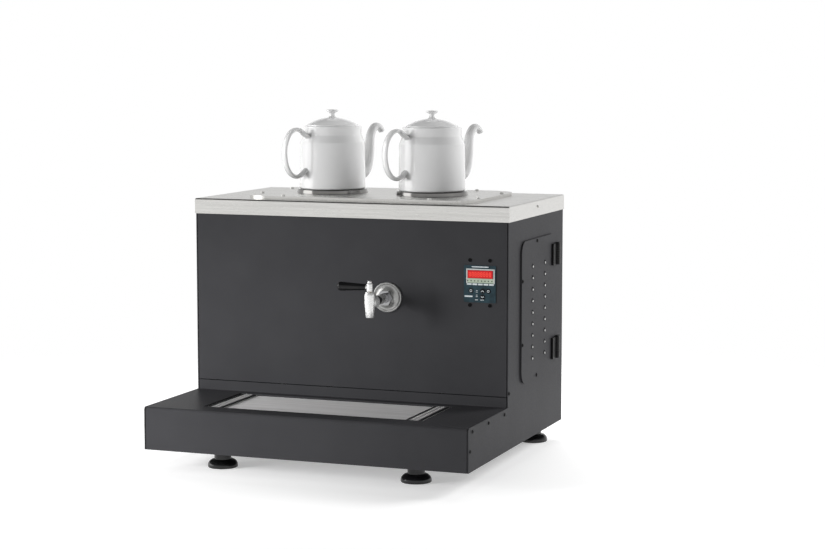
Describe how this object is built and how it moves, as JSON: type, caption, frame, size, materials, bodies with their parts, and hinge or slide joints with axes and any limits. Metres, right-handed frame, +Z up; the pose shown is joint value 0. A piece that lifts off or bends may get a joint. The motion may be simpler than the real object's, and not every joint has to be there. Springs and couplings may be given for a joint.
{
  "type": "tea urn",
  "caption": "Counter-top tea urn: painted boiler casing with a lever tap over a drip tray, a digital controller, a hinged service door and white teapots on steam seats.",
  "frame": {"origin": "on the standing surface, in the middle of the footprint's box", "axes": "+Z up, front (tap and drip tray) facing -Y, service door on +X"},
  "size_m": [0.5741, 0.527, 0.581],
  "materials": {
    "charcoal_paint": "satin charcoal powder coat",
    "cover_steel": "brushed stainless sheet",
    "seat_steel": "polished stainless",
    "bright_screws": "zinc plated",
    "black_screws": "blackened steel",
    "gasket_rubber": "red silicone",
    "nut_steel": "plain steel",
    "tank_steel": "stainless sheet",
    "mineral_wool": "mineral wool blanket",
    "heater_sheath": "heat-tinted sheath",
    "black_moulding": "moulded",
    "cream_moulding": "moulded",
    "valve_brass": "cast and turned brass",
    "tap_chrome": "chrome plate",
    "lever_bakelite": "polished black bakelite",
    "fascia_film": "printed film",
    "display_red": "lit red display",
    "board_green": "circuit board",
    "button_navy": "moulded keys",
    "hinge_black": "black paint",
    "foot_black": "glossy moulded foot",
    "pan_steel": "stainless sheet",
    "grate_steel": "stainless rod",
    "strip_black": "black strip",
    "porcelain": "white glaze"
  },
  "bodies": {
    "casing": {"base_pan": "charcoal_paint", "left_side_panel": "charcoal_paint", "right_side_panel": "charcoal_paint", "front_panel": "charcoal_paint", "back_panel": "charcoal_paint", "drip_deck": "charcoal_paint", "top_cover": "cover_steel", "pot_plate": "cover_steel", "seat_left": "seat_steel", "seat_right": "seat_steel", "plate_screws": "bright_screws", "element_screws": "bright_screws", "board_spacers": "bright_screws", "casing_screws": "black_screws", "control_screws": "black_screws", "plate_gasket": "gasket_rubber", "foot_nuts": "nut_steel", "hinge_pins": "nut_steel", "tank_stand": "nut_steel", "boiler_tank": "tank_steel", "tank_lid": "tank_steel", "temperature_probe": "tank_steel", "insulation_jacket": "mineral_wool", "heating_element": "heater_sheath", "safety_cutout": "black_moulding", "power_relay": "black_moulding", "cord_gland": "black_moulding", "terminal_block": "cream_moulding", "water_inlet": "valve_brass", "fill_pipe": "valve_brass", "tap_shank": "tap_chrome", "tap_flange": "tap_chrome", "tap_nuts": "tap_chrome", "tap_body": "tap_chrome", "control_fascia": "fascia_film", "display_window": "display_red", "indicator_lamps": "display_red", "control_board": "board_green", "body_hinge_leaves": "hinge_black"},
    "tap_lever": {"tap_plug": "valve_brass", "lever_hub": "tap_chrome", "lever_grip": "lever_bakelite"},
    "button_menu": {"button_menu": "button_navy"},
    "button_up": {"button_up": "button_navy"},
    "button_enter": {"button_enter": "button_navy"},
    "button_down": {"button_down": "button_navy"},
    "side_door": {"side_door": "charcoal_paint", "door_hinge_leaves": "hinge_black", "door_screws": "black_screws"},
    "foot_front_left": {"foot_front_left": "foot_black"},
    "foot_front_right": {"foot_front_right": "foot_black"},
    "foot_rear_left": {"foot_rear_left": "foot_black"},
    "foot_rear_right": {"foot_rear_right": "foot_black"},
    "drip_pan": {"drip_pan": "pan_steel"},
    "drip_grate": {"drip_grate": "grate_steel", "grate_strips": "strip_black"},
    "pot_left": {"pot_left": "porcelain"},
    "pot_right": {"pot_right": "porcelain"},
    "pot_lid_left": {"pot_lid_left": "porcelain"},
    "pot_lid_right": {"pot_lid_right": "porcelain"}
  },
  "joints": [
    {"name": "tap_turn", "type": "hinge", "parent": "casing", "child": "tap_lever", "pos_m": [0.0705, -0.1465, 0.2765], "axis": [0, 0, 1], "range_deg": [0, 90]},
    {"name": "door_swing", "type": "hinge", "parent": "casing", "child": "side_door", "pos_m": [0.2874, 0.1863, 0.2515], "axis": [0, 0, 1], "range_deg": [0, 110]},
    {"name": "button_menu_press", "type": "slide", "parent": "casing", "child": "button_menu", "axis": [0, 1, 0], "range_m": [0, 0.0008], "stiffness_N_per_m": 400},
    {"name": "button_up_press", "type": "slide", "parent": "casing", "child": "button_up", "axis": [0, 1, 0], "range_m": [0, 0.0008], "stiffness_N_per_m": 400},
    {"name": "button_enter_press", "type": "slide", "parent": "casing", "child": "button_enter", "axis": [0, 1, 0], "range_m": [0, 0.0008], "stiffness_N_per_m": 400},
    {"name": "button_down_press", "type": "slide", "parent": "casing", "child": "button_down", "axis": [0, 1, 0], "range_m": [0, 0.0008], "stiffness_N_per_m": 400},
    {"name": "foot_front_left_turn", "type": "hinge", "parent": "casing", "child": "foot_front_left", "pos_m": [-0.17, -0.1985, 0], "axis": [0, 0, 1], "continuous": true},
    {"name": "foot_front_right_turn", "type": "hinge", "parent": "casing", "child": "foot_front_right", "pos_m": [0.17, -0.1985, 0], "axis": [0, 0, 1], "continuous": true},
    {"name": "foot_rear_left_turn", "type": "hinge", "parent": "casing", "child": "foot_rear_left", "pos_m": [-0.242, 0.1965, 0], "axis": [0, 0, 1], "continuous": true},
    {"name": "foot_rear_right_turn", "type": "hinge", "parent": "casing", "child": "foot_rear_right", "pos_m": [0.242, 0.1965, 0], "axis": [0, 0, 1], "continuous": true},
    {"name": "drip_pan_lift", "type": "slide", "parent": "casing", "child": "drip_pan", "axis": [0, 0, 1], "range_m": [0, 0.07]},
    {"name": "drip_grate_lift", "type": "slide", "parent": "drip_pan", "child": "drip_grate", "axis": [0, 0, 1], "range_m": [0, 0.05]},
    {"name": "pot_left_lift", "type": "slide", "parent": "casing", "child": "pot_left", "axis": [0, 0, 1], "range_m": [0, 0.12]},
    {"name": "pot_lid_left_lift", "type": "slide", "parent": "pot_left", "child": "pot_lid_left", "axis": [0, 0, 1], "range_m": [0, 0.06]},
    {"name": "pot_right_lift", "type": "slide", "parent": "casing", "child": "pot_right", "axis": [0, 0, 1], "range_m": [0, 0.12]},
    {"name": "pot_lid_right_lift", "type": "slide", "parent": "pot_right", "child": "pot_lid_right", "axis": [0, 0, 1], "range_m": [0, 0.06]}
  ]
}
